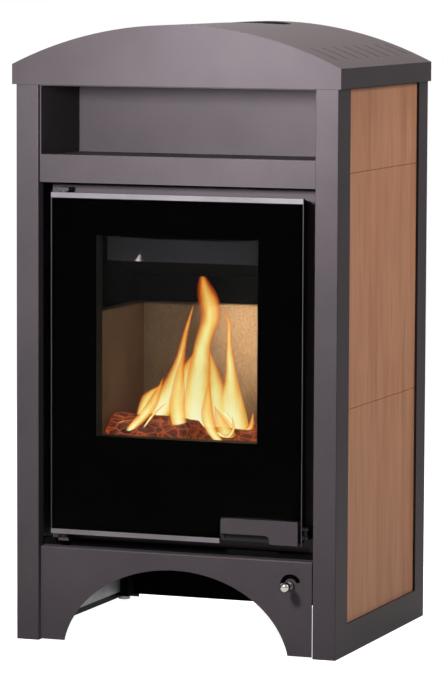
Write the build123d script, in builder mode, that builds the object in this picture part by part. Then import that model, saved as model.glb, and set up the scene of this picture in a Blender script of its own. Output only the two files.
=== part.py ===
# Boiler stove with an arched top, stone side tiles, a niche and a glass door.
# Millimetres. X to the right, Y to the back, Z up. The origin is on the floor, under the middle.
from build123d import *
import math
import os

os.makedirs("parts", exist_ok=True)

# Overall body
body_width = 535.0
body_depth = 450.0
body_height = 881.0
sheet = 2.0
bend = 1.5

# Arched cover
cover_overhang = 5.0
cover_skirt = 31.5
cover_rise = 63.5
cover_rim = 15.5
slot_count = 8
slot_length = 42.5
slot_width = 3.0
slot_front_inset = 52.5
slot_rear_inset = 40.5
slot_side_inset = 63.5

# Casing of the sides
post_width = 37.5
post_return = 20.0
rear_return = 30.0
front_flange = 57.0
rear_flange = 47.0
bottom_rail = 48.0
lip_depth = 10.0
tile_recess = 4.0

# Stone tiles
tile_thickness = 8.0
tile_module = 366.5
tile_joint = 0.8
tile_gap = 0.3
tile_bottom = 16.6
tile_top_gap = 1.5

# Plinth with its arch
plinth_set_back = 4.5
plinth_gap = 2.7
plinth_bottom = 2.0
plinth_top_gap = 9.0
plinth_bend = 2.5
arch_margin = 36.8
arch_half_height = 147.5
arch_centre_z = -23.0

# Niche
niche_height = 112.0
niche_depth = 165.0
shelf_drop = 41.0
shelf_lip = 3.0
shelf_set_back = 6.7

# Frame and feet
leg_side = 25.0
leg_front_inset = 22.0
leg_rear_inset = 17.0
foot_radius = 10.0
foot_height = 6.0
beam_depth = 30.0
beam_height = 14.0
beam_top = 160.0
beam_inset = 25.0

# Boiler body
front_plate_side_gap = 45.5
front_plate_thickness = 5.0
front_plate_inset = 40.0
front_plate_top_gap = 4.0
mouth_side_inset = 49.8
mouth_bottom = 200.0
mouth_top_inset = 59.0
mouth_radius = 12.0
jacket_side_inset = 4.0
jacket_top_inset = 2.0
jacket_rear_inset = 35.0
jacket_wall = 4.0
shell_wall = 5.0
shell_top_gap = 22.0
smoke_side_inset = 50.0
smoke_rear_gap = 10.0
smoke_height = 125.0
smoke_top_gap = 7.0
smoke_wall = 4.0
throat_lift = 12.0

# Firebox
brick_thickness = 25.0
brick_set_back = 10.0
brick_top_gap = 44.0
hearth_side_inset = 10.0
hearth_rear_inset = 201.0
frame_bottom = 256.0
frame_thickness = 8.0
rail_width = 10.0
rail_height = 6.0
grate_side_inset = 50.0
grate_front_gap = 60.0
grate_rear_gap = 24.0
grate_thickness = 8.0
grate_ledge = 10.0
grate_bars = 7
grate_slot = 10.0
ash_side_gap = 5.0
ash_front_gap = 15.0
ash_rear_gap = 9.0
ash_height = 46.0
ash_wall = 1.5
guard_thickness = 6.0
guard_height = 61.0
baffle_thickness = 6.0
baffle_rear_drop = 99.0
baffle_front_drop = 30.0
baffle_front_gap = 70.0
baffle_clearance = 0.3
deflector_side_gap = 30.0
deflector_drop = 25.0
deflector_height = 35.0
deflector_strap = 20.0

# Flue and water connections
flue_rear_inset = 110.0
flue_bore = 60.5
flue_wall = 3.0
flue_rise = 74.0
flue_hole_clearance = 1.5
weld_clearance = 0.05
stub_radius = 16.6
stub_bore = 12.5
stub_chamfer = 1.0
stub_reach = 27.5
stub_side_inset = 68.0
flow_drop = 72.0
return_z = 215.0
panel_clearance = 4.0
pipe_side_inset = 21.0
loop_radius = 8.0
loop_bore = 6.5
loop_drop = 82.0
loop_spread = 80.0
loop_front_gap = 60.0
loop_reach = 7.0
well_front_gap = 70.0
well_radius = 6.0
well_bore = 4.5
well_drop = 122.0
well_rise = 23.0
drain_z = 185.0
drain_radius = 9.0
drain_length = 8.0
drain_hex = 8.0

# Back panel and its screws
panel_bottom = 5.0
panel_top_gap = 2.0
panel_side_gap = 1.5
vent_count = 9
vent_length = 120.0
vent_width = 5.0
vent_pitch = 14.0
vent_first_z = 60.0
screw_radius = 2.0
screw_hole = 2.1
screw_head = 4.0
screw_head_height = 2.0
screw_length = 8.0
screw_side_inset = 15.5
screw_first_z = 60.0
screw_pitch = 250.0
screw_top_inset = 61.0

# Door
door_side_gap = 20.2
door_bottom = 172.4
door_top_gap = 15.6
door_set_back = 4.5
glass_thickness = 3.7
enamel_thickness = 0.3
trim_thickness = 0.8
top_trim_height = 8.0
bottom_trim_height = 7.5
trim_edge = 1.8
side_trim = 0.5
trim_return = 7.0
window_side_margin = 75.3
window_bottom = 330.0
window_top_margin = 65.4
pan_side_inset = 4.8
pan_bottom_inset = 4.6
pan_top_inset = 3.4
pan_sheet = 3.0
pan_depth = 24.5
channel_side_inset = 25.0
channel_width = 14.0
channel_proud = 4.0
groove_width = 7.0
rope_radius = 3.2
rope_clearance = 0.3
seal_bottom_inset = 10.0
seal_top_inset = 19.0
seal_corner = 14.0
inner_glass_margin = 10.5
inner_glass_thickness = 4.0
clip_half = 8.0
clip_thickness = 1.5
clip_overlap = 5.0
clip_inset = 40.0

# Door hinge
hinge_side_inset = 15.8
hinge_set_back = 15.5
hinge_pin_radius = 4.0
hinge_boss_radius = 7.0
hinge_clearance = 0.05
hinge_end_gap = 0.3
bush_radius = 6.0
bush_length = 20.0
bracket_thickness = 5.0
bracket_edge = 10.0
pin_reach = 16.0

# Handle and latch
cutout_width = 135.2
cutout_height = 42.4
handle_left_gap = 1.2
handle_right_gap = 6.2
handle_bottom_gap = 1.7
handle_top_gap = 3.0
handle_thickness = 3.0
notch_width = 80.8
notch_height = 13.4
notch_radius = 8.0
handle_left_radius = 5.0
handle_right_radius = 3.0
handle_corner = 1.0
handle_edge = 0.5
pivot_side_inset = 11.3
pivot_set_back = 7.5
pivot_radius = 2.5
pivot_clearance = 0.05
knuckle_radius = 5.0
knuckle_height = 10.0
hook_thickness = 6.0
hook_ring = 6.0
hook_step = 2.0
lug_radius = 4.4
lug_drop = 0.8
lug_thickness = 4.0
roller_gap = 3.2
roller_set_back = 12.0
roller_radius = 3.0
hook_clearance = 0.3
hook_nose = 1.0
hook_tip = 2.5
hook_finger = 4.0
ear_thickness = 4.0
ear_gap = 2.0
ear_half = 5.0
ear_front = 4.5

# Air control on the plinth
air_side_inset = 35.0
air_drop = 38.0
air_slot_radius = 13.8
air_slot_width = 7.0
air_slot_start = 31.0
air_slot_sweep = 150.0
air_pin_radius = 2.5
air_arm_angle = 181.0
air_arm_thickness = 3.0
air_arm_gap = 1.5
air_arm_hub = 3.0
spindle_radius = 4.0
spindle_clearance = 0.05
spindle_depth = 30.5
knob_radius = 7.5
knob_length = 14.5
knob_reach = 32.0
knob_front_round = 6.5
knob_rear_round = 3.0
boss_radius = 6.0
boss_length = 5.0
boss_gap = 0.5
air_box_half_x = 25.0
air_box_drop = 25.0
air_box_depth = 53.5
air_inlet_radius = 16.0
disc_radius = 20.0
disc_thickness = 3.0
disc_set_back = 20.5

# Places across, worked out from the driving dimensions
half_width = body_width / 2
side_inner = half_width - sheet
post_inner = half_width - post_width
tile_face = half_width - tile_recess
tile_back = tile_face - tile_thickness
slot_inner_x = half_width - slot_side_inset
plinth_half = post_inner - plinth_gap
arch_half_width = plinth_half - arch_margin
niche_half = post_inner - sheet
front_plate_half = half_width - front_plate_side_gap
jacket_half = front_plate_half - jacket_side_inset
door_half = post_inner - door_side_gap
mouth_half = door_half - mouth_side_inset
hearth_half = mouth_half - hearth_side_inset
shell_inner = hearth_half + brick_thickness
shell_half = shell_inner + shell_wall
smoke_half = shell_half - smoke_side_inset
grate_half = hearth_half - grate_side_inset
ash_half = hearth_half - ash_side_gap
deflector_half = mouth_half - deflector_side_gap
flow_x = jacket_half - stub_side_inset
return_x = -flow_x
well_x = jacket_half - pipe_side_inset
loop_x = -well_x
screw_x = half_width - screw_side_inset
glass_half = door_half - side_trim
window_half = door_half - window_side_margin
pan_half = door_half - pan_side_inset
channel_half = pan_half - channel_side_inset
hinge_x = hinge_side_inset - door_half
bracket_outer_x = hinge_x - hinge_boss_radius
bracket_inner_x = hinge_x + bracket_edge
cutout_left = door_half - cutout_width
handle_left = cutout_left + handle_left_gap
handle_right = door_half - handle_right_gap
notch_right = handle_left + notch_width
pivot_x = door_half - pivot_side_inset
roller_x = door_half + roller_gap
hook_tip_x = roller_x + hook_tip
ear_left = roller_x - ear_half
ear_right = roller_x + ear_half
air_x = plinth_half - air_side_inset

# Places from front to back
front_y = -body_depth / 2
rear_y = body_depth / 2
slot_first_y = front_y + slot_front_inset
slot_pitch = (rear_y - slot_rear_inset - slot_first_y) / (slot_count - 1)
opening_front_y = front_y + front_flange
opening_rear_y = rear_y - rear_flange
plinth_front_y = front_y + plinth_set_back
plinth_back_y = plinth_front_y + sheet
shelf_front_y = front_y + shelf_set_back
niche_back_y = front_y + niche_depth
leg_front_y = front_y + leg_front_inset
leg_rear_y = rear_y - leg_rear_inset
beam_front_y = front_y + beam_inset
beam_rear_y = rear_y - beam_inset
front_plate_y = front_y + front_plate_inset
plate_rear_y = front_plate_y + front_plate_thickness
jacket_rear_y = rear_y - jacket_rear_inset
hearth_rear_y = rear_y - hearth_rear_inset
shell_inner_y = hearth_rear_y + brick_thickness
shell_rear_y = shell_inner_y + shell_wall
smoke_rear_y = jacket_rear_y - smoke_rear_gap
brick_front_y = plate_rear_y + brick_set_back
grate_front_y = plate_rear_y + grate_front_gap
grate_rear_y = hearth_rear_y - grate_rear_gap
ash_front_y = plate_rear_y + ash_front_gap
ash_rear_y = shell_inner_y - ash_rear_gap
baffle_front_y = plate_rear_y + baffle_front_gap
flue_y = rear_y - flue_rear_inset
stub_end_y = rear_y + stub_reach
loop_front_y = plate_rear_y + loop_front_gap
loop_end_y = rear_y + loop_reach
well_y = plate_rear_y + well_front_gap
panel_rear_y = rear_y - sheet
panel_front_y = panel_rear_y - sheet
door_front_y = front_y + door_set_back
enamel_front_y = door_front_y + glass_thickness
pan_front_y = enamel_front_y + enamel_thickness
pan_back_y = pan_front_y + pan_sheet
pan_rear_y = pan_front_y + pan_depth
channel_rear_y = pan_rear_y + channel_proud
trim_front_y = door_front_y - trim_thickness
rope_y = front_plate_y - rope_clearance - rope_radius
inner_glass_y = pan_rear_y + inner_glass_thickness
hinge_y = door_front_y + hinge_set_back
bracket_front_y = hinge_y - hinge_boss_radius
handle_back_y = door_front_y + handle_thickness
pivot_y = door_front_y + pivot_set_back
roller_y = door_front_y + roller_set_back
ear_front_y = roller_y - ear_front
knob_tip_y = plinth_front_y - knob_reach
arm_front_y = plinth_back_y + air_arm_gap
spindle_rear_y = plinth_back_y + spindle_depth
air_box_rear_y = plinth_back_y + air_box_depth
disc_y = plinth_back_y + disc_set_back

# Places from the floor up
cover_top = body_height + cover_skirt + cover_rise
tile_top = body_height - tile_top_gap
beam_bottom = beam_top - beam_height
plinth_top = beam_top - plinth_top_gap
shelf_surface = body_height - niche_height
shelf_bottom = shelf_surface - shelf_drop
front_plate_top = shelf_bottom - front_plate_top_gap
mouth_top = front_plate_top - mouth_top_inset
jacket_top = front_plate_top - jacket_top_inset
shell_top = jacket_top - shell_top_gap
shell_bottom = mouth_bottom - shell_wall
smoke_top = jacket_top - smoke_top_gap
smoke_bottom = smoke_top - smoke_height
throat_bottom = smoke_bottom + throat_lift
hearth_z = frame_bottom + frame_thickness
guard_top = hearth_z + guard_height
baffle_rear_z = mouth_top - baffle_rear_drop
baffle_front_z = mouth_top - baffle_front_drop
brick_top = baffle_rear_z - brick_top_gap
deflector_top = mouth_top - deflector_drop
deflector_bottom = deflector_top - deflector_height
flue_outer = flue_bore + flue_wall
flue_top = body_height + flue_rise
flow_z = jacket_top - flow_drop
loop_high_z = jacket_top - loop_drop
loop_low_z = loop_high_z - loop_spread
well_bottom = jacket_top - well_drop
well_top = jacket_top + well_rise
panel_top = body_height - panel_top_gap
screw_heights = (
    screw_first_z,
    screw_first_z + screw_pitch,
    screw_first_z + 2 * screw_pitch,
    body_height - screw_top_inset,
)
door_top = shelf_bottom - door_top_gap
glass_bottom = door_bottom + trim_edge
glass_top = door_top - trim_edge
window_top = door_top - window_top_margin
pan_bottom = door_bottom + pan_bottom_inset
pan_top = door_top - pan_top_inset
seal_bottom = pan_bottom + seal_bottom_inset
seal_top = pan_top - seal_top_inset
clip_heights = (window_bottom + clip_inset, (window_bottom + window_top) / 2, window_top - clip_inset)
cutout_top = door_bottom + cutout_height
handle_bottom = door_bottom + handle_bottom_gap
handle_top = cutout_top - handle_top_gap
notch_top = handle_bottom + notch_height
knuckle_top = pan_bottom + pan_sheet + knuckle_height
lug_bottom = cutout_top - lug_drop
air_z = plinth_top - air_drop
air_box_bottom = air_z - air_box_drop


def block(x_span, y_span, z_span, mode=Mode.ADD):
    """A box between two corners, given as a span along each axis."""
    x_low, x_high = sorted(x_span)
    y_low, y_high = sorted(y_span)
    z_low, z_high = sorted(z_span)
    middle = ((x_low + x_high) / 2, (y_low + y_high) / 2, (z_low + z_high) / 2)
    with Locations(middle):
        Box(x_high - x_low, y_high - y_low, z_high - z_low, mode=mode)


def rod(x, y, z_low, z_high, radius, mode=Mode.ADD):
    """An upright cylinder."""
    with Locations((x, y, (z_low + z_high) / 2)):
        Cylinder(radius, z_high - z_low, mode=mode)


def rod_y(x, z, y_low, y_high, radius, mode=Mode.ADD):
    """A cylinder that lies from front to back."""
    with Locations((x, (y_low + y_high) / 2, z)):
        Cylinder(radius, y_high - y_low, rotation=(90, 0, 0), mode=mode)


def front_edges(piece, y, z):
    """The edges of a piece that run left to right at a depth and a height."""
    return [
        edge
        for edge in piece.edges().filter_by(Axis.X)
        if abs(edge.center().Y - y) < 0.01 and abs(edge.center().Z - z) < 0.01
    ]


def keep(piece, label):
    """Names a finished piece and writes its file."""
    piece.part.label = label
    export_step(piece.part, f"parts/{label}.step")


# Side casings, tiles and tile trays, one of each on either side
def make_casing(side, label):
    with BuildPart() as casing:
        block((side * side_inner, side * half_width), (front_y, rear_y), (0, body_height))
        block(
            (side * side_inner, side * half_width),
            (opening_front_y, opening_rear_y),
            (bottom_rail, body_height),
            mode=Mode.SUBTRACT,
        )
        block((side * post_inner, side * half_width), (front_y, front_y + sheet), (0, body_height))
        block(
            (side * post_inner, side * (post_inner + sheet)),
            (front_y, front_y + post_return),
            (0, body_height),
        )
        block(
            (side * (half_width - rear_return), side * half_width),
            (panel_rear_y, rear_y),
            (0, body_height),
        )
        for y_edge, y_lip in ((opening_front_y, -sheet), (opening_rear_y, sheet)):
            block(
                (side * (half_width - lip_depth - sheet), side * side_inner),
                (y_edge, y_edge + y_lip),
                (bottom_rail - sheet, body_height),
            )
        block(
            (side * tile_face, side * side_inner),
            (opening_front_y, opening_rear_y),
            (bottom_rail - sheet, bottom_rail),
        )
        upright = casing.edges().filter_by(Axis.Z)
        outer = [edge for edge in upright if abs(abs(edge.center().X) - half_width) < 0.01]
        corners = [edge for edge in outer if abs(abs(edge.center().Y) - body_depth / 2) < 0.01]
        fillet(corners, bend)
        inner = [
            edge
            for edge in casing.edges().filter_by(Axis.Z)
            if abs(abs(edge.center().X) - post_inner) < 0.01 and abs(edge.center().Y - front_y) < 0.01
        ]
        fillet(inner, bend)
        for height in screw_heights:
            rod_y(side * screw_x, height, panel_rear_y, rear_y, screw_hole, mode=Mode.SUBTRACT)
    keep(casing, label)


def make_tile(side, z_low, z_high, label):
    with BuildPart() as tile:
        block(
            (side * tile_back, side * tile_face),
            (opening_front_y + tile_gap, opening_rear_y - tile_gap),
            (z_low, z_high),
        )
    keep(tile, label)


def make_tile_tray(side, label):
    with BuildPart() as tray:
        block(
            (side * (tile_back - sheet), side * tile_back),
            (opening_front_y, opening_rear_y),
            (tile_bottom - sheet, body_height),
        )
        block(
            (side * tile_back, side * tile_face),
            (opening_front_y, opening_rear_y),
            (tile_bottom - sheet, tile_bottom),
        )
    keep(tray, label)


tile_steps = (
    ("lower", tile_bottom, tile_bottom + tile_module - tile_joint / 2),
    ("middle", tile_bottom + tile_module + tile_joint / 2, tile_bottom + 2 * tile_module - tile_joint / 2),
    ("upper", tile_bottom + 2 * tile_module + tile_joint / 2, tile_top),
)
for side, side_name in ((-1, "left"), (1, "right")):
    make_casing(side, f"{side_name}_casing")
    make_tile_tray(side, f"{side_name}_tile_tray")
    for step_name, z_low, z_high in tile_steps:
        make_tile(side, z_low, z_high, f"{side_name}_tile_{step_name}")

# Arched cover with its vent slots and the flue hole
cover_half = half_width + cover_overhang
cover_front_y = front_y - cover_overhang
skirt_top = body_height + cover_skirt
with BuildPart() as top_cover:
    with BuildSketch(Plane.XZ.offset(-rear_y)) as cover_outline:
        with BuildLine():
            Polyline(
                (cover_half, skirt_top),
                (cover_half, body_height),
                (-cover_half, body_height),
                (-cover_half, skirt_top),
            )
            ThreePointArc((-cover_half, skirt_top), (0, cover_top), (cover_half, skirt_top))
        make_face()
    extrude(amount=rear_y - cover_front_y)
    inner_half = cover_half - sheet
    with BuildSketch(Plane.XZ.offset(-(rear_y - sheet))) as cover_hollow:
        with BuildLine():
            Polyline(
                (inner_half, skirt_top - sheet / 2),
                (inner_half, body_height + sheet),
                (-inner_half, body_height + sheet),
                (-inner_half, skirt_top - sheet / 2),
            )
            ThreePointArc(
                (-inner_half, skirt_top - sheet / 2),
                (0, cover_top - sheet),
                (inner_half, skirt_top - sheet / 2),
            )
        make_face()
    extrude(amount=rear_y - cover_front_y - 2 * sheet, mode=Mode.SUBTRACT)
    block(
        (-cover_half + cover_rim + cover_overhang, cover_half - cover_rim - cover_overhang),
        (cover_front_y + cover_rim + 2 * cover_overhang, rear_y - cover_rim - cover_overhang),
        (body_height, body_height + sheet),
        mode=Mode.SUBTRACT,
    )
    rod(0, flue_y, skirt_top, cover_top, flue_outer + flue_hole_clearance, mode=Mode.SUBTRACT)
    for side in (-1, 1):
        for step in range(slot_count):
            slot_y = slot_first_y + step * slot_pitch
            block(
                (side * slot_inner_x, side * (slot_inner_x + slot_length)),
                (slot_y - slot_width / 2, slot_y + slot_width / 2),
                (body_height + cover_skirt / 2, cover_top),
                mode=Mode.SUBTRACT,
            )
keep(top_cover, "top_cover")

# Front plinth with its arch, the hole of the air spindle and the curved slot of the index pin
with BuildPart() as front_plinth:
    with BuildSketch(Plane.XZ.offset(-plinth_back_y)) as plinth_face:
        with Locations((0, (plinth_bottom + plinth_top) / 2)):
            Rectangle(2 * plinth_half, plinth_top - plinth_bottom)
        with Locations((0, arch_centre_z)):
            Ellipse(arch_half_width, arch_half_height, mode=Mode.SUBTRACT)
        with Locations((air_x, air_z)):
            Circle(spindle_radius + spindle_clearance, mode=Mode.SUBTRACT)
        slot_ends = (math.radians(air_slot_start), math.radians(air_slot_start + air_slot_sweep))
        with BuildLine():
            for radius in (air_slot_radius - air_slot_width / 2, air_slot_radius + air_slot_width / 2):
                CenterArc((air_x, air_z), radius, air_slot_start, air_slot_sweep)
            for angle, turn_back in ((slot_ends[0], -1), (slot_ends[1], 1)):
                along = (math.cos(angle), math.sin(angle))
                ThreePointArc(
                    [
                        (
                            air_x + reach * along[0] - bulge * along[1],
                            air_z + reach * along[1] + bulge * along[0],
                        )
                        for reach, bulge in (
                            (air_slot_radius - air_slot_width / 2, 0),
                            (air_slot_radius, turn_back * air_slot_width / 2),
                            (air_slot_radius + air_slot_width / 2, 0),
                        )
                    ]
                )
        make_face(mode=Mode.SUBTRACT)
    extrude(amount=sheet)
    block((-plinth_half, plinth_half), (plinth_front_y, beam_front_y), (plinth_top - sheet, plinth_top))
    fillet(front_edges(front_plinth, plinth_front_y, plinth_top), plinth_bend)
keep(front_plinth, "front_plinth")

# Niche: a shelf with its front strip, and a liner
with BuildPart() as niche_shelf:
    block(
        (-niche_half, niche_half),
        (shelf_front_y, shelf_front_y + sheet),
        (shelf_bottom, shelf_surface + shelf_lip),
    )
    block(
        (-niche_half, niche_half),
        (shelf_front_y, niche_back_y - sheet),
        (shelf_surface - sheet, shelf_surface),
    )
    fillet(front_edges(niche_shelf, shelf_front_y, shelf_surface + shelf_lip), bend)
keep(niche_shelf, "niche_shelf")

with BuildPart() as niche_liner:
    block((-post_inner, post_inner), (niche_back_y - sheet, niche_back_y), (shelf_bottom, body_height))
    block((-post_inner, post_inner), (shelf_front_y, niche_back_y), (body_height - sheet, body_height))
    for side in (-1, 1):
        block(
            (side * niche_half, side * post_inner),
            (shelf_front_y, niche_back_y),
            (shelf_bottom, body_height),
        )
keep(niche_liner, "niche_liner")

# Supporting frame, feet and the shield under the boiler
leg_x = side_inner - leg_side / 2
leg_rows = (leg_front_y + leg_side / 2, leg_rear_y - leg_side / 2)
leg_centres = [(x, y) for x in (-leg_x, leg_x) for y in leg_rows]
with BuildPart() as support_frame:
    for x, y in leg_centres:
        block(
            (x - leg_side / 2, x + leg_side / 2),
            (y - leg_side / 2, y + leg_side / 2),
            (foot_height, beam_top),
        )
    beam_reach = side_inner - leg_side
    block((-beam_reach, beam_reach), (beam_front_y, beam_front_y + beam_depth), (beam_bottom, beam_top))
    block((-beam_reach, beam_reach), (beam_rear_y - beam_depth, beam_rear_y), (beam_bottom, beam_top))
keep(support_frame, "support_frame")

with BuildPart() as levelling_feet:
    for x, y in leg_centres:
        rod(x, y, 0, foot_height, foot_radius)
    chamfer(levelling_feet.edges().group_by(Axis.Z)[0], foot_height / 6)
keep(levelling_feet, "levelling_feet")

with BuildPart() as bottom_shield:
    block((-beam_reach, beam_reach), (beam_front_y, beam_rear_y), (beam_bottom - sheet, beam_bottom))
keep(bottom_shield, "bottom_shield")

# Boiler body: front plate, water jacket, firebox shell and smoke box
with BuildPart() as front_plate:
    with BuildSketch(Plane.XZ.offset(-plate_rear_y)) as plate_face:
        with Locations((0, (beam_top + front_plate_top) / 2)):
            Rectangle(2 * front_plate_half, front_plate_top - beam_top)
        with Locations((0, (mouth_bottom + mouth_top) / 2)):
            RectangleRounded(2 * mouth_half, mouth_top - mouth_bottom, mouth_radius, mode=Mode.SUBTRACT)
    extrude(amount=front_plate_thickness)
keep(front_plate, "front_plate")

with BuildPart() as water_jacket:
    block((-jacket_half, jacket_half), (plate_rear_y, jacket_rear_y), (beam_top, jacket_top))
    block(
        (-jacket_half + jacket_wall, jacket_half - jacket_wall),
        (plate_rear_y, jacket_rear_y - jacket_wall),
        (beam_top + jacket_wall, jacket_top - jacket_wall),
        mode=Mode.SUBTRACT,
    )
    for x, y, radius in ((0, flue_y, flue_outer), (well_x, well_y, well_radius)):
        rod(x, y, jacket_top - jacket_wall, jacket_top, radius + weld_clearance, mode=Mode.SUBTRACT)
    for x, z, radius in (
        (flow_x, flow_z, stub_bore),
        (return_x, return_z, stub_bore),
        (loop_x, loop_low_z, loop_radius + weld_clearance),
        (loop_x, loop_high_z, loop_radius + weld_clearance),
        (0, drain_z, drain_radius + weld_clearance),
    ):
        rod_y(x, z, jacket_rear_y - jacket_wall, jacket_rear_y, radius, mode=Mode.SUBTRACT)
keep(water_jacket, "water_jacket")

with BuildPart() as firebox_shell:
    block((-shell_half, shell_half), (plate_rear_y, shell_rear_y), (shell_bottom, shell_top))
    block(
        (-shell_inner, shell_inner),
        (plate_rear_y, shell_inner_y),
        (mouth_bottom, shell_top - shell_wall),
        mode=Mode.SUBTRACT,
    )
    block(
        (-smoke_half + smoke_wall, smoke_half - smoke_wall),
        (shell_inner_y, shell_rear_y),
        (throat_bottom, shell_top - shell_wall),
        mode=Mode.SUBTRACT,
    )
    for side in (-1, 1):
        block(
            (side * (shell_inner - rail_width), side * shell_inner),
            (plate_rear_y, shell_inner_y),
            (frame_bottom - rail_height, frame_bottom),
        )
keep(firebox_shell, "firebox_shell")

with BuildPart() as smoke_box:
    block((-smoke_half, smoke_half), (shell_rear_y, smoke_rear_y), (smoke_bottom, smoke_top))
    block(
        (-smoke_half + smoke_wall, smoke_half - smoke_wall),
        (shell_rear_y, smoke_rear_y - smoke_wall),
        (smoke_bottom + smoke_wall, smoke_top - smoke_wall),
        mode=Mode.SUBTRACT,
    )
    rod(0, flue_y, smoke_top - smoke_wall, smoke_top, flue_bore, mode=Mode.SUBTRACT)
keep(smoke_box, "smoke_box")

with BuildPart() as flue_collar:
    rod(0, flue_y, smoke_top, flue_top, flue_outer)
    rod(0, flue_y, smoke_top, flue_top, flue_bore, mode=Mode.SUBTRACT)
keep(flue_collar, "flue_collar")

# Firebox lining, grate, ash pan and what hangs over the fire
with BuildPart() as side_firebricks:
    for side in (-1, 1):
        block((side * hearth_half, side * shell_inner), (brick_front_y, shell_inner_y), (hearth_z, brick_top))
    chamfer(side_firebricks.edges().group_by(Axis.Z)[-1], brick_thickness / 10)
keep(side_firebricks, "side_firebricks")

with BuildPart() as rear_firebrick:
    block((-hearth_half, hearth_half), (hearth_rear_y, shell_inner_y), (hearth_z, brick_top))
    chamfer(rear_firebrick.edges().group_by(Axis.Z)[-1], brick_thickness / 10)
keep(rear_firebrick, "rear_firebrick")

with BuildPart() as grate_frame:
    block((-shell_inner, shell_inner), (plate_rear_y, shell_inner_y), (frame_bottom, hearth_z))
    block(
        (-grate_half + grate_ledge, grate_half - grate_ledge),
        (grate_front_y + grate_ledge, grate_rear_y - grate_ledge),
        (frame_bottom, hearth_z),
        mode=Mode.SUBTRACT,
    )
keep(grate_frame, "grate_frame")

with BuildPart() as grate:
    block(
        (-grate_half, grate_half), (grate_front_y, grate_rear_y), (hearth_z, hearth_z + grate_thickness)
    )
    slot_step = (2 * grate_half - 2 * grate_ledge) / grate_bars
    for step in range(grate_bars):
        slot_x = -grate_half + grate_ledge + (step + 0.5) * slot_step
        block(
            (slot_x - grate_slot / 2, slot_x + grate_slot / 2),
            (grate_front_y + grate_ledge, grate_rear_y - grate_ledge),
            (hearth_z, hearth_z + grate_thickness),
            mode=Mode.SUBTRACT,
        )
keep(grate, "grate")

with BuildPart() as ash_pan:
    block((-ash_half, ash_half), (ash_front_y, ash_rear_y), (mouth_bottom, mouth_bottom + ash_height))
    block(
        (-ash_half + ash_wall, ash_half - ash_wall),
        (ash_front_y + ash_wall, ash_rear_y - ash_wall),
        (mouth_bottom + ash_wall, mouth_bottom + ash_height),
        mode=Mode.SUBTRACT,
    )
keep(ash_pan, "ash_pan")

with BuildPart() as log_guard:
    block(
        (-hearth_half, hearth_half), (brick_front_y - guard_thickness, brick_front_y), (hearth_z, guard_top)
    )
keep(log_guard, "log_guard")

with BuildPart() as baffle_plate:
    with BuildSketch(Plane.YZ.offset(-(shell_inner - baffle_clearance))) as baffle_section:
        with BuildLine():
            Polyline(
                (shell_inner_y, baffle_rear_z),
                (baffle_front_y, baffle_front_z),
                (baffle_front_y, baffle_front_z + baffle_thickness),
                (shell_inner_y, baffle_rear_z + baffle_thickness),
                close=True,
            )
        make_face()
    extrude(amount=2 * (shell_inner - baffle_clearance))
keep(baffle_plate, "baffle_plate")

with BuildPart() as air_deflector:
    block(
        (-deflector_half, deflector_half),
        (front_plate_y + sheet, plate_rear_y),
        (deflector_bottom, deflector_top),
    )
    for side in (-1, 1):
        block(
            (side * (deflector_half - deflector_strap), side * deflector_half),
            (front_plate_y + sheet, plate_rear_y),
            (deflector_top, mouth_top),
        )
keep(air_deflector, "air_deflector")

# Water stubs, cooling loop, sensor sleeve and drain plug
for x, z, label in ((flow_x, flow_z, "flow_stub"), (return_x, return_z, "return_stub")):
    with BuildPart() as stub:
        rod_y(x, z, jacket_rear_y, stub_end_y, stub_radius)
        chamfer(stub.faces().sort_by(Axis.Y)[-1].edges(), stub_chamfer)
        rod_y(x, z, jacket_rear_y, stub_end_y, stub_bore, mode=Mode.SUBTRACT)
    keep(stub, label)

with BuildPart() as cooling_loop:
    with BuildLine() as loop_path:
        FilletPolyline(
            (loop_x, loop_end_y, loop_low_z),
            (loop_x, loop_front_y, loop_low_z),
            (loop_x, loop_front_y, loop_high_z),
            (loop_x, loop_end_y, loop_high_z),
            radius=(loop_high_z - loop_low_z) * 0.4,
        )
    with BuildSketch(Plane(origin=loop_path.line @ 0, z_dir=loop_path.line % 0)) as loop_section:
        Circle(loop_radius)
        Circle(loop_bore, mode=Mode.SUBTRACT)
    sweep(path=loop_path.line)
keep(cooling_loop, "cooling_loop")

with BuildPart() as sensor_sleeve:
    rod(well_x, well_y, well_bottom, well_top, well_radius)
    rod(well_x, well_y, well_bottom + sheet, well_top, well_bore, mode=Mode.SUBTRACT)
keep(sensor_sleeve, "sensor_sleeve")

with BuildPart() as drain_plug:
    rod_y(0, drain_z, jacket_rear_y - jacket_wall, jacket_rear_y, drain_radius)
    with BuildSketch(Plane.XZ.offset(-(jacket_rear_y + drain_length))) as plug_head:
        with Locations((0, drain_z)):
            RegularPolygon(drain_radius + 3 * sheet, 6)
            Circle(drain_hex / 2, mode=Mode.SUBTRACT)
    extrude(amount=drain_length)
keep(drain_plug, "drain_plug")

# Back panel with pipe holes, vents and screws
panel_half = side_inner - panel_side_gap
with BuildPart() as back_panel:
    block((-panel_half, panel_half), (panel_front_y, panel_rear_y), (panel_bottom, panel_top))
    for x, z, radius in (
        (flow_x, flow_z, stub_radius + panel_clearance),
        (return_x, return_z, stub_radius + panel_clearance),
        (loop_x, loop_low_z, loop_radius + panel_clearance),
        (loop_x, loop_high_z, loop_radius + panel_clearance),
    ):
        rod_y(x, z, panel_front_y, panel_rear_y, radius, mode=Mode.SUBTRACT)
    for step in range(vent_count):
        vent_z = vent_first_z + step * vent_pitch
        block(
            (-vent_length / 2, vent_length / 2),
            (panel_front_y, panel_rear_y),
            (vent_z - vent_width / 2, vent_z + vent_width / 2),
            mode=Mode.SUBTRACT,
        )
    for side in (-1, 1):
        for height in screw_heights:
            rod_y(side * screw_x, height, panel_front_y, panel_rear_y, screw_hole, mode=Mode.SUBTRACT)
keep(back_panel, "back_panel")

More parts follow.
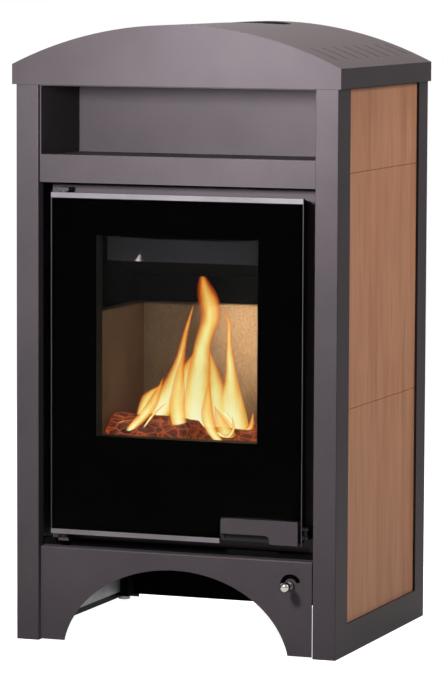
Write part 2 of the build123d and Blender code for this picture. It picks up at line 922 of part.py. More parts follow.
with BuildPart() as panel_screws:
    for side in (-1, 1):
        for height in screw_heights:
            rod_y(side * screw_x, height, rear_y - screw_length, rear_y, screw_radius)
            rod_y(side * screw_x, height, rear_y, rear_y + screw_head_height, screw_head)
    fillet(panel_screws.faces().group_by(Axis.Y)[-1].edges(), screw_head_height / 2)
keep(panel_screws, "panel_screws")


# Door: pan, glass, enamel border, trims, gasket channel, rope and inner glass
def window_outline(half, bottom, top, mode=Mode.SUBTRACT):
    """A rectangle centred left to right, between two heights, in the sketch in hand."""
    with Locations((0, (bottom + top) / 2)):
        Rectangle(2 * half, top - bottom, mode=mode)


def handle_cutout():
    """The lower right corner that the glass and the enamel leave for the handle."""
    with Locations(((cutout_left + door_half) / 2, (door_bottom + cutout_top) / 2)):
        Rectangle(door_half - cutout_left, cutout_top - door_bottom, mode=Mode.SUBTRACT)


with BuildPart() as door_frame:
    with BuildSketch(Plane.XZ.offset(-pan_back_y)):
        window_outline(pan_half, pan_bottom, pan_top, mode=Mode.ADD)
        window_outline(window_half, window_bottom, window_top)
    extrude(amount=pan_sheet)
    with BuildSketch(Plane.XZ.offset(-pan_rear_y)):
        window_outline(pan_half, pan_bottom, pan_top, mode=Mode.ADD)
        window_outline(pan_half - pan_sheet, pan_bottom + pan_sheet, pan_top - pan_sheet)
        window_outline(
            window_half + pan_sheet, window_bottom - pan_sheet, window_top + pan_sheet, mode=Mode.ADD
        )
        window_outline(window_half, window_bottom, window_top)
    extrude(amount=pan_rear_y - pan_back_y)
    rod(hinge_x, hinge_y, pan_bottom, pan_top, hinge_pin_radius + hinge_clearance, mode=Mode.SUBTRACT)
    block(
        (pivot_x - 3 * knuckle_radius, pan_half),
        (pan_front_y, pivot_y + hook_clearance),
        (pan_bottom, lug_bottom),
        mode=Mode.SUBTRACT,
    )
    block(
        (cutout_left + 2 * pan_sheet, pivot_x),
        (pan_front_y, pan_back_y),
        (pan_bottom + pan_sheet, lug_bottom - pan_sheet),
        mode=Mode.SUBTRACT,
    )
    block(
        (pan_half - pan_sheet, pan_half),
        (pan_front_y, pan_rear_y),
        (pan_bottom + pan_sheet, knuckle_top + hook_thickness + ear_gap),
        mode=Mode.SUBTRACT,
    )
    rod(pivot_x, pivot_y, pan_bottom, pan_bottom + pan_sheet, lug_radius)
    block(
        (pivot_x - 2 * knuckle_radius, pan_half),
        (pan_front_y, pivot_y + 2 * lug_radius),
        (lug_bottom, lug_bottom + lug_thickness),
    )
    rod(
        pivot_x,
        pivot_y,
        pan_bottom,
        lug_bottom + lug_thickness,
        pivot_radius + pivot_clearance,
        mode=Mode.SUBTRACT,
    )
keep(door_frame, "door_frame")

with BuildPart() as door_glass:
    with BuildSketch(Plane.XZ.offset(-enamel_front_y)):
        window_outline(glass_half, glass_bottom, glass_top, mode=Mode.ADD)
        handle_cutout()
    extrude(amount=glass_thickness)
keep(door_glass, "door_glass")

with BuildPart() as enamel_border:
    with BuildSketch(Plane.XZ.offset(-pan_front_y)):
        window_outline(glass_half, glass_bottom, glass_top, mode=Mode.ADD)
        window_outline(window_half, window_bottom, window_top)
        handle_cutout()
    extrude(amount=enamel_thickness)
keep(enamel_border, "enamel_border")

with BuildPart() as top_trim:
    block((-door_half, door_half), (trim_front_y, door_front_y), (door_top - top_trim_height, door_top))
    block((-door_half, door_half), (door_front_y, door_front_y + trim_return), (glass_top, door_top))
keep(top_trim, "top_trim")

with BuildPart() as bottom_trim:
    block(
        (-door_half, cutout_left),
        (trim_front_y, door_front_y),
        (door_bottom, door_bottom + bottom_trim_height),
    )
    block((-door_half, cutout_left), (door_front_y, door_front_y + trim_return), (door_bottom, glass_bottom))
keep(bottom_trim, "bottom_trim")

with BuildPart() as side_trims:
    for side in (-1, 1):
        block(
            (side * glass_half, side * door_half),
            (door_front_y, enamel_front_y),
            (glass_bottom, glass_top),
        )
keep(side_trims, "side_trims")

seal_height = seal_top - seal_bottom
seal_middle = (seal_bottom + seal_top) / 2


def seal_outline(grow, mode=Mode.ADD):
    """The rounded rectangle that the rope follows, grown by an amount."""
    with Locations((0, seal_middle)):
        RectangleRounded(
            2 * (channel_half + grow), seal_height + 2 * grow, seal_corner + grow, mode=mode
        )


with BuildPart() as gasket_channel:
    with BuildSketch(Plane.XZ.offset(-channel_rear_y)):
        seal_outline(channel_width / 2)
        seal_outline(-channel_width / 2, mode=Mode.SUBTRACT)
    extrude(amount=channel_rear_y - pan_back_y)
    with BuildSketch(Plane.XZ.offset(-channel_rear_y)):
        seal_outline(groove_width / 2)
        seal_outline(-groove_width / 2, mode=Mode.SUBTRACT)
    extrude(amount=channel_rear_y - pan_rear_y, mode=Mode.SUBTRACT)
keep(gasket_channel, "gasket_channel")

rope_plane = Plane.XZ.offset(-rope_y)
with BuildPart() as door_gasket:
    with BuildLine(rope_plane) as rope_path:
        low = seal_bottom
        high = seal_top
        turn = seal_corner
        diagonal = turn * (1 - math.sqrt(0.5))
        side_x = channel_half
        Line((0, low), (side_x - turn, low))
        ThreePointArc((side_x - turn, low), (side_x - diagonal, low + diagonal), (side_x, low + turn))
        Line((side_x, low + turn), (side_x, high - turn))
        ThreePointArc((side_x, high - turn), (side_x - diagonal, high - diagonal), (side_x - turn, high))
        Line((side_x - turn, high), (turn - side_x, high))
        ThreePointArc((turn - side_x, high), (diagonal - side_x, high - diagonal), (-side_x, high - turn))
        Line((-side_x, high - turn), (-side_x, low + turn))
        ThreePointArc((-side_x, low + turn), (diagonal - side_x, low + diagonal), (turn - side_x, low))
        Line((turn - side_x, low), (0, low))
    with BuildSketch(Plane(origin=(0, rope_y, low), z_dir=(1, 0, 0))):
        Circle(rope_radius)
    sweep(path=rope_path.line)
keep(door_gasket, "door_gasket")

with BuildPart() as inner_glass:
    with BuildSketch(Plane.XZ.offset(-inner_glass_y)):
        window_outline(
            window_half + inner_glass_margin,
            window_bottom - inner_glass_margin,
            window_top + inner_glass_margin,
            mode=Mode.ADD,
        )
    extrude(amount=inner_glass_thickness)
keep(inner_glass, "inner_glass")

with BuildPart() as glass_clips:
    for side in (-1, 1):
        for height in clip_heights:
            block(
                (
                    side * (window_half + inner_glass_margin - clip_overlap),
                    side * (channel_half - channel_width / 2),
                ),
                (inner_glass_y, inner_glass_y + clip_thickness),
                (height - clip_half, height + clip_half),
            )
keep(glass_clips, "glass_clips")

with BuildPart() as hinge_bushes:
    for z_low, z_high in (
        (pan_bottom + pan_sheet, pan_bottom + pan_sheet + bush_length),
        (pan_top - pan_sheet - bush_length, pan_top - pan_sheet),
    ):
        rod(hinge_x, hinge_y, z_low, z_high, bush_radius)
        rod(hinge_x, hinge_y, z_low, z_high, hinge_pin_radius + hinge_clearance, mode=Mode.SUBTRACT)
keep(hinge_bushes, "hinge_bushes")

# Hinge brackets on the front plate, with their bosses and pins
lower_bracket_top = beam_top + bracket_thickness
upper_bracket_low = door_top + trim_edge + hinge_end_gap
with BuildPart() as hinge_brackets:
    for z_low, z_high, boss_low, boss_high in (
        (beam_top, lower_bracket_top, lower_bracket_top, pan_bottom - hinge_end_gap),
        (
            upper_bracket_low,
            upper_bracket_low + bracket_thickness,
            pan_top + hinge_end_gap,
            upper_bracket_low,
        ),
    ):
        block((bracket_outer_x, bracket_inner_x), (bracket_front_y, front_plate_y), (z_low, z_high))
        rod(hinge_x, hinge_y, boss_low, boss_high, hinge_boss_radius)
keep(hinge_brackets, "hinge_brackets")

with BuildPart() as hinge_pins:
    rod(hinge_x, hinge_y, pan_bottom - hinge_end_gap, pan_bottom + pan_sheet + pin_reach, hinge_pin_radius)
    rod(hinge_x, hinge_y, pan_top - pan_sheet - pin_reach, pan_top + hinge_end_gap, hinge_pin_radius)
keep(hinge_pins, "hinge_pins")

# Latch catch on the front plate: two ears and a roller
hook_top = knuckle_top + hook_thickness
with BuildPart() as latch_catch:
    for z_low, z_high in (
        (knuckle_top - ear_gap - ear_thickness, knuckle_top - ear_gap),
        (hook_top + ear_gap, hook_top + ear_gap + ear_thickness),
    ):
        block((ear_left, ear_right), (ear_front_y, front_plate_y), (z_low, z_high))
        rod(roller_x, roller_y, z_low, z_high, roller_radius + weld_clearance, mode=Mode.SUBTRACT)
keep(latch_catch, "latch_catch")

with BuildPart() as latch_roller:
    rod(
        roller_x,
        roller_y,
        knuckle_top - ear_gap - ear_thickness,
        hook_top + ear_gap + ear_thickness,
        roller_radius,
    )
keep(latch_roller, "latch_roller")

# Handle: plate with its knuckle, hook and pivot pin
with BuildPart() as handle_plate:
    with BuildSketch(Plane.XZ.offset(-handle_back_y)) as handle_face:
        with BuildLine():
            FilletPolyline(
                (handle_left, notch_top),
                (notch_right, notch_top),
                (notch_right, handle_bottom),
                (handle_right, handle_bottom),
                (handle_right, handle_top),
                (handle_left, handle_top),
                radius=(
                    handle_corner,
                    notch_radius,
                    handle_corner,
                    handle_corner,
                    handle_right_radius,
                    handle_left_radius,
                ),
                close=True,
            )
        make_face()
    extrude(amount=handle_thickness)
    block(
        (pivot_x - knuckle_radius, pivot_x + knuckle_radius),
        (handle_back_y, pivot_y),
        (pan_bottom + pan_sheet + hook_clearance, knuckle_top),
    )
    rod(pivot_x, pivot_y, pan_bottom + pan_sheet + hook_clearance, knuckle_top, knuckle_radius)
    rod(
        pivot_x,
        pivot_y,
        pan_bottom + pan_sheet + hook_clearance,
        knuckle_top,
        pivot_radius + pivot_clearance,
        mode=Mode.SUBTRACT,
    )
    chamfer(handle_plate.faces().sort_by(Axis.Y)[0].edges(), handle_edge)
keep(handle_plate, "handle_plate")

finger_low_y = roller_y + roller_radius + hook_clearance
with BuildPart() as latch_hook:
    with BuildSketch(Plane.XY.offset(knuckle_top)) as hook_outline:
        with Locations((pivot_x, pivot_y)):
            Circle(hook_ring - hook_step)
        with BuildLine():
            Polyline(
                (pivot_x, pivot_y + hook_ring - hook_step),
                (pivot_x + hook_ring, finger_low_y + hook_finger),
                (hook_tip_x, finger_low_y + hook_finger),
                (hook_tip_x, finger_low_y),
                (roller_x - roller_radius - hook_clearance - hook_nose, finger_low_y),
                (pivot_x + hook_ring, pivot_y + hook_step),
                (pivot_x, pivot_y - hook_ring + hook_step),
                close=True,
            )
        make_face()
        with Locations((pivot_x, pivot_y)):
            Circle(pivot_radius + pivot_clearance, mode=Mode.SUBTRACT)
    extrude(amount=hook_thickness)
keep(latch_hook, "latch_hook")

with BuildPart() as handle_pin:
    rod(pivot_x, pivot_y, pan_bottom, lug_bottom + lug_thickness, pivot_radius)
keep(handle_pin, "handle_pin")

# Air control: box behind the plinth, spindle, index arm, damper disc and knob
box_top = beam_bottom - sheet
with BuildPart() as air_box:
    block(
        (air_x - air_box_half_x, air_x + air_box_half_x),
        (plinth_back_y, air_box_rear_y),
        (air_box_bottom, box_top),
    )
    block(
        (air_x - air_box_half_x + sheet, air_x + air_box_half_x - sheet),
        (plinth_back_y, air_box_rear_y - sheet),
        (air_box_bottom + sheet, box_top - sheet),
        mode=Mode.SUBTRACT,
    )
    rod_y(air_x, air_z, air_box_rear_y - sheet, air_box_rear_y, air_inlet_radius, mode=Mode.SUBTRACT)
keep(air_box, "air_box")

knob_rear_y = knob_tip_y + knob_length
with BuildPart() as air_spindle:
    rod_y(air_x, air_z, knob_rear_y, spindle_rear_y, spindle_radius)
    boss_rear_y = plinth_front_y - boss_gap
    rod_y(air_x, air_z, boss_rear_y - boss_length, boss_rear_y, boss_radius)
keep(air_spindle, "air_spindle")

with BuildPart() as air_knob:
    rod_y(air_x, air_z, knob_tip_y, knob_rear_y, knob_radius)
    fillet(air_knob.faces().sort_by(Axis.Y)[0].edges(), knob_front_round)
    fillet(air_knob.faces().sort_by(Axis.Y)[-1].edges(), knob_rear_round)
keep(air_knob, "air_knob")

pin_x = air_x + air_slot_radius * math.cos(math.radians(air_arm_angle))
pin_z = air_z + air_slot_radius * math.sin(math.radians(air_arm_angle))
with BuildPart() as air_index_arm:
    with BuildSketch(Plane.XZ.offset(-(arm_front_y + air_arm_thickness))) as arm_outline:
        with Locations((air_x, air_z)):
            Circle(spindle_radius + air_arm_hub)
            with Locations((-air_slot_radius / 2, 0)):
                Rectangle(air_slot_radius, 2 * air_pin_radius)
        with Locations((pin_x, pin_z)):
            Circle(air_pin_radius)
        with Locations((air_x, air_z)):
            Circle(spindle_radius + spindle_clearance, mode=Mode.SUBTRACT)
    extrude(amount=air_arm_thickness)
    rod_y(pin_x, pin_z, plinth_front_y, arm_front_y + air_arm_thickness, air_pin_radius)
keep(air_index_arm, "air_index_arm")

with BuildPart() as air_damper_disc:
    disc_rear_y = disc_y + disc_thickness
    rod_y(air_x, air_z, disc_y, disc_rear_y, disc_radius)
    rod_y(air_x, air_z, disc_y, disc_rear_y, spindle_radius + spindle_clearance, mode=Mode.SUBTRACT)
keep(air_damper_disc, "air_damper_disc")
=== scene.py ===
import math
import random

import bmesh
import bpy
from mathutils import Matrix, Vector, noise


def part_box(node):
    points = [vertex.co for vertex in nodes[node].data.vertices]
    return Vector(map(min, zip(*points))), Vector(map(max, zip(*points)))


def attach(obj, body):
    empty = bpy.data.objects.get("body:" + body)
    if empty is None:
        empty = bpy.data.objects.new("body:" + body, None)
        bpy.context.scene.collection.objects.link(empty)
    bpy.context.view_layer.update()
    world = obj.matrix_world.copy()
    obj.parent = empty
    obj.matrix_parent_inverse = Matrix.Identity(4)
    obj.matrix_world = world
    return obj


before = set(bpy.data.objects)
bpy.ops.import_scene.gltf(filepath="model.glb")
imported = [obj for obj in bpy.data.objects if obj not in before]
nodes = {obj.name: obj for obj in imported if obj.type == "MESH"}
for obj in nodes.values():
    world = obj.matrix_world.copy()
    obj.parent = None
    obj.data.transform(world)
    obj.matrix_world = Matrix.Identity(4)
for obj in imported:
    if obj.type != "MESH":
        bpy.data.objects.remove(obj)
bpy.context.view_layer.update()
scene = bpy.context.scene


# Node helpers
def new_material(name):
    """A material with an empty node tree, its tree, its shader and its output."""
    material = bpy.data.materials.new(name)
    material.use_nodes = True
    tree = material.node_tree
    tree.nodes.clear()
    output = tree.nodes.new("ShaderNodeOutputMaterial")
    shader = tree.nodes.new("ShaderNodeBsdfPrincipled")
    tree.links.new(shader.outputs["BSDF"], output.inputs["Surface"])
    return material, tree, shader, output


def grey(level):
    """A linear grey."""
    return (level, level, level, 1)


BLACK, WHITE = grey(0), grey(1)


def linear(red, green, blue):
    """A screen colour, 0 to 255, as a linear colour."""
    steps = [channel / 255 for channel in (red, green, blue)]
    return tuple(s / 12.92 if s <= 0.04045 else ((s + 0.055) / 1.055) ** 2.4 for s in steps) + (1.0,)


def position(tree, scale=(1, 1, 1)):
    """The place on the object, in metres, stretched by a scale along each axis."""
    coordinates = tree.nodes.new("ShaderNodeTexCoord")
    mapping = tree.nodes.new("ShaderNodeMapping")
    mapping.inputs["Scale"].default_value = scale
    tree.links.new(coordinates.outputs["Object"], mapping.inputs["Vector"])
    return mapping.outputs["Vector"]


def noise_texture(tree, vector, scale, detail=4.0, roughness=0.6):
    """Noise between zero and one; scale is the number of patches in a metre."""
    texture = tree.nodes.new("ShaderNodeTexNoise")
    texture.inputs["Scale"].default_value = scale
    texture.inputs["Detail"].default_value = detail
    texture.inputs["Roughness"].default_value = roughness
    tree.links.new(vector, texture.inputs["Vector"])
    return texture.outputs["Fac"]


def ramp(tree, value, stops):
    """A colour ramp through (position, colour) stops."""
    node = tree.nodes.new("ShaderNodeValToRGB")
    elements = node.color_ramp.elements
    while len(elements) < len(stops):
        elements.new(0.5)
    for element, (place, colour) in zip(elements, stops):
        element.position = place
        element.color = colour
    tree.links.new(value, node.inputs["Fac"])
    return node.outputs["Color"]


def value_range(tree, value, low, high, from_low=0.3, from_high=0.7):
    """A value carried from one range to another; noise mostly lies between 0.3 and 0.7."""
    node = tree.nodes.new("ShaderNodeMapRange")
    node.inputs["From Min"].default_value = from_low
    node.inputs["From Max"].default_value = from_high
    node.inputs["To Min"].default_value = low
    node.inputs["To Max"].default_value = high
    tree.links.new(value, node.inputs["Value"])
    return node.outputs["Result"]


def bump(tree, shader, height, strength, distance):
    """Fine relief on the shader; distance is its depth in metres."""
    node = tree.nodes.new("ShaderNodeBump")
    node.inputs["Strength"].default_value = strength
    node.inputs["Distance"].default_value = distance
    tree.links.new(height, node.inputs["Height"])
    tree.links.new(node.outputs["Normal"], shader.inputs["Normal"])


# Places of the colour sockets on a mix node
MIX_FIRST, MIX_SECOND, MIX_RESULT = 6, 7, 2


def mix_colour(tree, factor, first, second, blend="MIX"):
    """Two colours mixed; each may be a colour or a socket, and the factor a number or a socket."""
    node = tree.nodes.new("ShaderNodeMix")
    node.data_type = "RGBA"
    node.blend_type = blend
    if isinstance(factor, float):
        node.inputs["Factor"].default_value = factor
    else:
        tree.links.new(factor, node.inputs["Factor"])
    for place, value in ((MIX_FIRST, first), (MIX_SECOND, second)):
        if isinstance(value, tuple):
            node.inputs[place].default_value = value
        else:
            tree.links.new(value, node.inputs[place])
    return node.outputs[MIX_RESULT]


def seen_ray(tree, path):
    """One where a ray comes from the camera, from a reflection or through glass, else zero."""
    total = path.outputs["Is Camera Ray"]
    for name in ("Is Glossy Ray", "Is Transmission Ray"):
        node = tree.nodes.new("ShaderNodeMath")
        node.operation = "MAXIMUM"
        tree.links.new(total, node.inputs[0])
        tree.links.new(path.outputs[name], node.inputs[1])
        total = node.outputs[0]
    return total


# Materials of the stove
# A satin finish keeps the white surroundings out of the dark surfaces
ENAMEL_METALLIC = 0.32
ENAMEL_SPECULAR = 0.08
ENAMEL_SHEEN = 0.05
# Low, so that the panes stay clear and hardly mirror the surroundings
GLASS_IOR = 1.08
GLASS_TINT = linear(246, 248, 248)
# How far clouds darken and lighten a plain finish, and how far its grain moves the roughness
CLOUD_DARK, CLOUD_LIGHT = 0.82, 1.18
GRAIN_SPREAD = 0.06


def anthracite_enamel():
    """Satin metallic enamel with a fine grain."""
    material, tree, shader, _ = new_material("anthracite_enamel")
    grain = noise_texture(tree, position(tree), 900, 3)
    cloud = noise_texture(tree, position(tree), 7, 3)
    base = ramp(tree, cloud, ((0.3, linear(52, 48, 51)), (0.7, linear(57, 52, 55))))
    flake = value_range(tree, grain, 0.88, 1.12)
    shade = mix_colour(tree, 1.0, base, flake, "MULTIPLY")
    tree.links.new(shade, shader.inputs["Base Color"])
    tree.links.new(value_range(tree, grain, 0.44, 0.54), shader.inputs["Roughness"])
    shader.inputs["Metallic"].default_value = ENAMEL_METALLIC
    shader.inputs["Specular IOR Level"].default_value = ENAMEL_SPECULAR
    shader.inputs["Specular Tint"].default_value = grey(ENAMEL_SHEEN)
    bump(tree, shader, grain, 0.12, 0.0002)
    return material


def stone_tile():
    """Brown stone with upright veins, honed."""
    material, tree, shader, _ = new_material("stone_tile")
    broad = noise_texture(tree, position(tree, (1, 1, 0.12)), 26, 5)
    fine = noise_texture(tree, position(tree, (1, 1, 0.05)), 150, 5, 0.7)
    cloud = noise_texture(tree, position(tree, (1, 1, 0.5)), 5, 3)
    tone = ramp(tree, broad, (
        (0.28, linear(150, 104, 76)),
        (0.45, linear(166, 120, 91)),
        (0.6, linear(176, 131, 101)),
        (0.75, linear(158, 119, 96)),
    ))
    veins = ramp(tree, fine, (
        (0.3, (0.78, 0.74, 0.72, 1)),
        (0.55, WHITE),
        (0.8, (1.06, 1.02, 0.97, 1)),
    ))
    hazy = mix_colour(tree, value_range(tree, cloud, 0.0, 0.35), tone, linear(158, 122, 99))
    shade = mix_colour(tree, 0.75, hazy, veins, "MULTIPLY")
    tree.links.new(shade, shader.inputs["Base Color"])
    tree.links.new(value_range(tree, fine, 0.48, 0.62), shader.inputs["Roughness"])
    shader.inputs["Specular IOR Level"].default_value = 0.06
    bump(tree, shader, fine, 0.25, 0.0003)
    return material


def firebrick():
    """Pressed vermiculite, pale tan with coarse grains and a little soot."""
    material, tree, shader, _ = new_material("firebrick")
    grain = noise_texture(tree, position(tree), 320, 6, 0.75)
    soot = noise_texture(tree, position(tree, (1, 1, 0.4)), 9, 4)
    tone = ramp(tree, grain, (
        (0.3, linear(116, 88, 62)),
        (0.5, linear(152, 122, 90)),
        (0.75, linear(178, 150, 116)),
    ))
    dirty = mix_colour(tree, value_range(tree, soot, 0.0, 0.45), tone, linear(72, 50, 34))
    tree.links.new(dirty, shader.inputs["Base Color"])
    shader.inputs["Roughness"].default_value = 0.9
    shader.inputs["Specular IOR Level"].default_value = 0.15
    bump(tree, shader, grain, 0.5, 0.0008)
    return material


def clear_glass(name):
    """Clear ceramic glass with little reflection and a faint haze."""
    material, tree, shader, _ = new_material(name)
    haze = noise_texture(tree, position(tree), 6, 2)
    tree.links.new(ramp(tree, haze, ((0.3, GLASS_TINT), (0.7, WHITE))), shader.inputs["Base Color"])
    tree.links.new(value_range(tree, haze, 0.0, 0.012), shader.inputs["Roughness"])
    shader.inputs["Transmission Weight"].default_value = 1.0
    shader.inputs["IOR"].default_value = GLASS_IOR
    return material


def dark_finish(name, colour, roughness, metallic=0.0, grain_scale=500, depth=0.0002, specular=0.3):
    """A plain painted, cast or turned surface: one tone with a fine grain and slight clouds."""
    material, tree, shader, _ = new_material(name)
    grain = noise_texture(tree, position(tree), grain_scale, 4)
    cloud = noise_texture(tree, position(tree), 11, 3)
    dark = tuple(channel * CLOUD_DARK for channel in colour[:3]) + (1,)
    light = tuple(min(1, channel * CLOUD_LIGHT) for channel in colour[:3]) + (1,)
    tree.links.new(ramp(tree, cloud, ((0.3, dark), (0.7, light))), shader.inputs["Base Color"])
    rough = value_range(tree, grain, roughness - GRAIN_SPREAD, roughness + GRAIN_SPREAD)
    tree.links.new(rough, shader.inputs["Roughness"])
    shader.inputs["Metallic"].default_value = metallic
    shader.inputs["Specular IOR Level"].default_value = specular
    bump(tree, shader, grain, 0.3, depth)
    return material


def rope_weave():
    """Braided rope: crossed diagonal strands."""
    material, tree, shader, _ = new_material("rope_weave")
    waves = []
    for turn in ((1, 1, 1), (1, 1, -1)):
        wave = tree.nodes.new("ShaderNodeTexWave")
        wave.bands_direction = "DIAGONAL"
        wave.inputs["Scale"].default_value = 190
        wave.inputs["Distortion"].default_value = 0.6
        tree.links.new(position(tree, turn), wave.inputs["Vector"])
        waves.append(wave.outputs["Fac"])
    braid = tree.nodes.new("ShaderNodeMath")
    braid.operation = "MAXIMUM"
    tree.links.new(waves[0], braid.inputs[0])
    tree.links.new(waves[1], braid.inputs[1])
    tone = ramp(tree, braid.outputs[0], ((0.2, linear(26, 26, 26)), (0.8, linear(74, 72, 70))))
    tree.links.new(tone, shader.inputs["Base Color"])
    shader.inputs["Roughness"].default_value = 0.95
    bump(tree, shader, braid.outputs[0], 0.6, 0.0006)
    return material


enamel = anthracite_enamel()
tile_stone = stone_tile()
brick = firebrick()
outer_glass = clear_glass("door_ceramic_glass")
second_glass = clear_glass("inner_ceramic_glass")
border_black = dark_finish("border_enamel", linear(30, 30, 32), 0.5, specular=0.0)
trim_metal = dark_finish("trim_metal", linear(84, 80, 84), 0.42, 0.15, specular=0.15)
edge_metal = dark_finish("edge_metal", linear(74, 72, 76), 0.45, 0.1, specular=0.15)
knob_chrome = dark_finish("knob_chrome", linear(150, 145, 142), 0.1, 1.0, depth=0.00001, specular=0.5)
turned_steel = dark_finish("turned_steel", linear(126, 122, 120), 0.32, 1.0, specular=0.5)
zinc_sheet = dark_finish("zinc_sheet", linear(142, 142, 144), 0.45, 0.8, 60)
black_paint = dark_finish("black_paint", linear(18, 18, 18), 0.6, specular=0.1)
deep_black = dark_finish("deep_black", linear(7, 7, 7), 0.8, specular=0.02)
sooty_iron = dark_finish("sooty_iron", linear(18, 16, 15), 0.8, 0.0, 260, 0.0008, 0.05)
deflector_grey = dark_finish("deflector_grey", linear(32, 30, 33), 0.6, specular=0.1)
rope = rope_weave()

FINISHES = {
    enamel: ("left_casing", "right_casing", "top_cover", "front_plinth", "niche_shelf", "niche_liner",
             "handle_plate", "front_plate", "hinge_brackets"),
    tile_stone: [f"{side}_tile_{row}" for side in ("left", "right") for row in ("lower", "middle", "upper")],
    brick: ("side_firebricks", "rear_firebrick"),
    outer_glass: ("door_glass",),
    second_glass: ("inner_glass",),
    border_black: ("enamel_border",),
    trim_metal: ("top_trim", "bottom_trim"),
    edge_metal: ("side_trims",),
    knob_chrome: ("air_knob",),
    turned_steel: ("air_spindle", "air_index_arm", "hinge_pins", "panel_screws", "drain_plug",
                   "cooling_loop", "sensor_sleeve", "hinge_bushes", "flow_stub", "return_stub"),
    zinc_sheet: ("left_tile_tray", "right_tile_tray", "ash_pan", "levelling_feet", "glass_clips"),
    deep_black: ("firebox_shell", "back_panel", "bottom_shield", "support_frame", "smoke_box"),
    sooty_iron: ("grate", "grate_frame", "log_guard", "baffle_plate"),
    deflector_grey: ("air_deflector",),
    rope: ("door_gasket",),
}
# Every node not named above is painted black
for node in nodes.values():
    node.data.materials.clear()
    node.data.materials.append(black_paint)
for finish, names in FINISHES.items():
    for name in names:
        nodes[name].data.materials[0] = finish


# The fire: logs, embers and flames behind the glass
def mesh_object(name, mesh_data, material):
    """A smooth piece that rides the stove."""
    piece = bpy.data.objects.new(name, mesh_data)
    scene.collection.objects.link(piece)
    mesh_data.materials.append(material)
    for polygon in mesh_data.polygons:
        polygon.use_smooth = True
    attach(piece, "stove")


def ring_mesh(name, rings):
    """A closed tube through rings of points, each with the same count."""
    form = bmesh.new()
    loops = [[form.verts.new(point) for point in ring] for ring in rings]
    count = len(loops[0])
    for first, second in zip(loops, loops[1:]):
        for step in range(count):
            following = (step + 1) % count
            form.faces.new((first[step], first[following], second[following], second[step]))
    form.faces.new(list(reversed(loops[0])))
    form.faces.new(loops[-1])
    bmesh.ops.recalc_face_normals(form, faces=form.faces)
    data = bpy.data.meshes.new(name)
    form.to_mesh(data)
    form.free()
    return data


def charred_bark():
    """Split wood burning: brown bark with cracks that glow."""
    material, tree, shader, _ = new_material("charred_bark")
    along = noise_texture(tree, position(tree, (0.35, 1, 1)), 90, 6, 0.7)
    cracks = tree.nodes.new("ShaderNodeTexVoronoi")
    cracks.feature = "DISTANCE_TO_EDGE"
    cracks.inputs["Scale"].default_value = 85
    tree.links.new(position(tree, (0.6, 1, 1)), cracks.inputs["Vector"])
    tone = ramp(tree, along, (
        (0.3, linear(38, 18, 12)),
        (0.5, linear(104, 52, 34)),
        (0.72, linear(168, 98, 66)),
    ))
    tree.links.new(tone, shader.inputs["Base Color"])
    glow = ramp(tree, cracks.outputs["Distance"], (
        (0.0, linear(255, 120, 40)),
        (0.06, linear(120, 24, 4)),
        (0.16, BLACK),
    ))
    tree.links.new(glow, shader.inputs["Emission Color"])
    shader.inputs["Emission Strength"].default_value = 0.5
    shader.inputs["Roughness"].default_value = 0.9
    bump(tree, shader, along, 0.8, 0.003)
    return material


def glowing_ember():
    """Embers: orange between dark crusts."""
    material, tree, shader, _ = new_material("glowing_ember")
    crust = noise_texture(tree, position(tree), 110, 5, 0.7)
    tone = ramp(tree, crust, ((0.35, linear(40, 20, 16)), (0.7, linear(120, 66, 48))))
    glow = ramp(tree, crust, (
        (0.4, BLACK),
        (0.52, linear(150, 40, 8)),
        (0.66, linear(255, 140, 60)),
    ))
    tree.links.new(tone, shader.inputs["Base Color"])
    tree.links.new(glow, shader.inputs["Emission Color"])
    shader.inputs["Emission Strength"].default_value = 0.9
    shader.inputs["Roughness"].default_value = 0.95
    bump(tree, shader, crust, 0.8, 0.003)
    return material


bark = charred_bark()
ember = glowing_ember()
HEARTH_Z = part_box("grate_frame")[1].z
GRATE_TOP_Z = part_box("grate")[1].z
LOG_SECTIONS, LOG_SIDES = 22, 20
# Share of the radius taken by broad and fine lumps, and kept at the sawn ends and upwards
LOG_LUMPS, LOG_FINE_LUMPS = 0.16, 0.05
LOG_END, LOG_FLATNESS = 0.86, 0.85


def log(name, start, end, radius, seed):
    """A split log between two points, with a lumpy, slightly flattened section."""
    start, end = Vector(start), Vector(end)
    along = (end - start).normalized()
    side = along.cross(Vector((0, 0, 1))).normalized()
    up = side.cross(along)
    rings = []
    for section in range(LOG_SECTIONS + 1):
        share = section / LOG_SECTIONS
        centre = start.lerp(end, share)
        closing = LOG_END if section in (0, LOG_SECTIONS) else 1.0
        ring = []
        for step in range(LOG_SIDES):
            angle = 2 * math.pi * step / LOG_SIDES
            rim = Vector((3 * math.cos(angle), 3 * math.sin(angle), share * 6 + seed))
            lump = 1 + LOG_LUMPS * noise.noise(rim) + LOG_FINE_LUMPS * noise.noise(rim * 4)
            out = radius * lump * closing
            ring.append(centre + side * math.cos(angle) * out + up * math.sin(angle) * out * LOG_FLATNESS)
        rings.append(ring)
    mesh_object(name, ring_mesh(name, rings), bark)


# Logs: (start, end, radius), in metres, lying on the grate and on each other
LOGS = (
    ((-0.146, -0.108, GRATE_TOP_Z + 0.05), (-0.005, -0.12, GRATE_TOP_Z + 0.045), 0.041),
    ((-0.135, -0.03, GRATE_TOP_Z + 0.034), (0.135, -0.02, GRATE_TOP_Z + 0.034), 0.033),
    ((-0.118, -0.085, GRATE_TOP_Z + 0.034), (0.1, -0.075, GRATE_TOP_Z + 0.034), 0.033),
    ((0.035, -0.138, GRATE_TOP_Z + 0.026), (0.142, -0.09, GRATE_TOP_Z + 0.03), 0.026),
)
# Keeps the lumps of one log from repeating on the next
LOG_SEED_STEP = 7.3
for number, (start, end, radius) in enumerate(LOGS):
    log(f"log_{number + 1}", start, end, radius, number * LOG_SEED_STEP)

